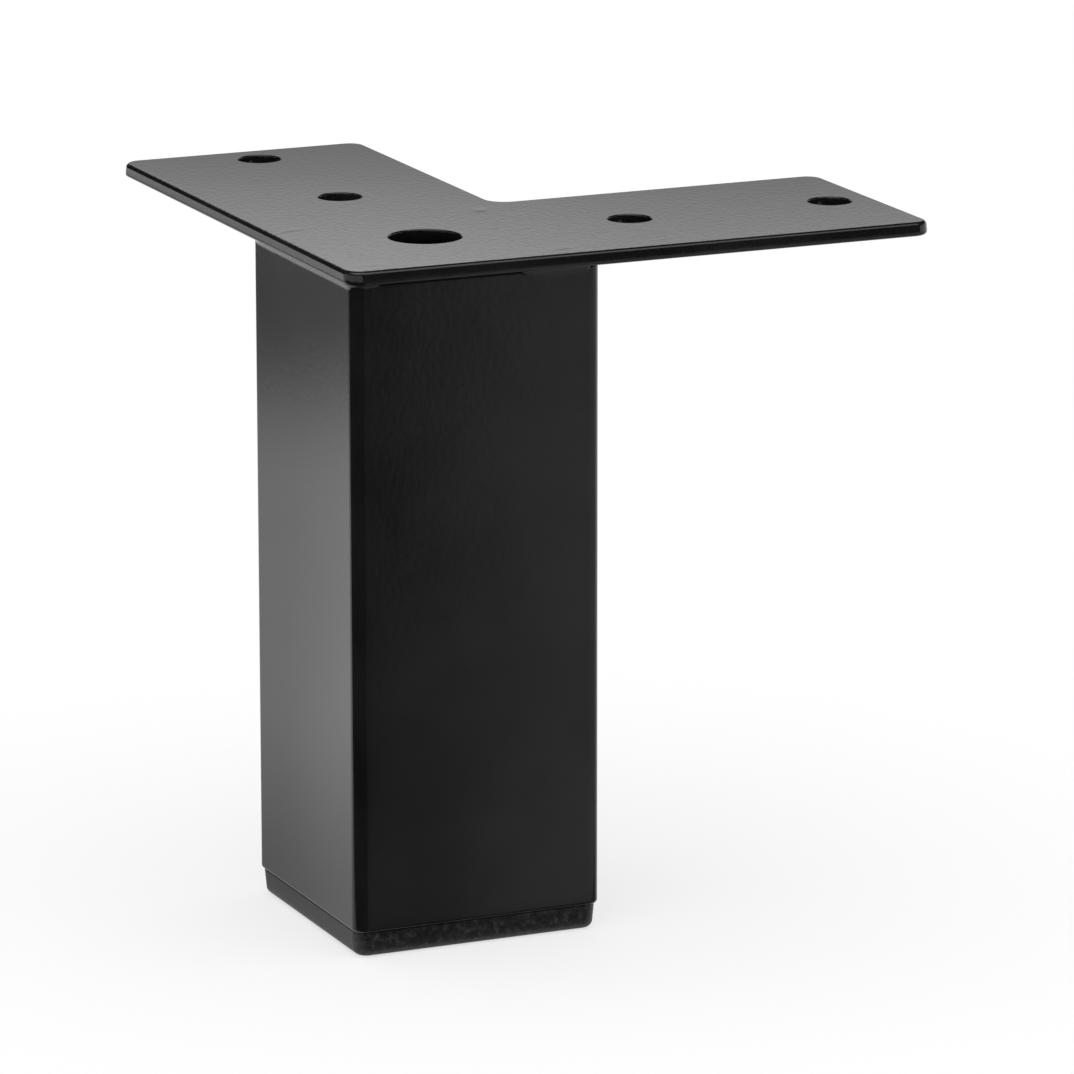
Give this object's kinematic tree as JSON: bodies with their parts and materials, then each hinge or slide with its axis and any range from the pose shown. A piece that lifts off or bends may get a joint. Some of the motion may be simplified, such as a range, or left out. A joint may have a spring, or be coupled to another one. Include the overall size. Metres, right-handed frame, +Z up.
{
  "type": "furniture leg",
  "caption": "Square steel corner leg welded under an L-shaped mounting plate with screw holes, with a plastic foot pressed into its lower end.",
  "frame": {"origin": "centre of the foot's resting face, on the tube's axis", "axes": "+Z up the tube to the mounting plate's top face, +X along one arm of the plate and +Y along the other"},
  "size_m": [0.119, 0.119, 0.131],
  "materials": {
    "powder_coat": "satin black powder coat with fine orange peel",
    "foot_plastic": "matte black moulded plastic, faintly speckled"
  },
  "bodies": {
    "root": {"mounting_plate": "powder_coat", "square_tube": "powder_coat", "corner_weld": "powder_coat", "front_weld": "powder_coat", "right_arm_weld": "powder_coat", "back_arm_weld": "powder_coat", "foot_plug": "foot_plastic"}
  },
  "joints": []
}
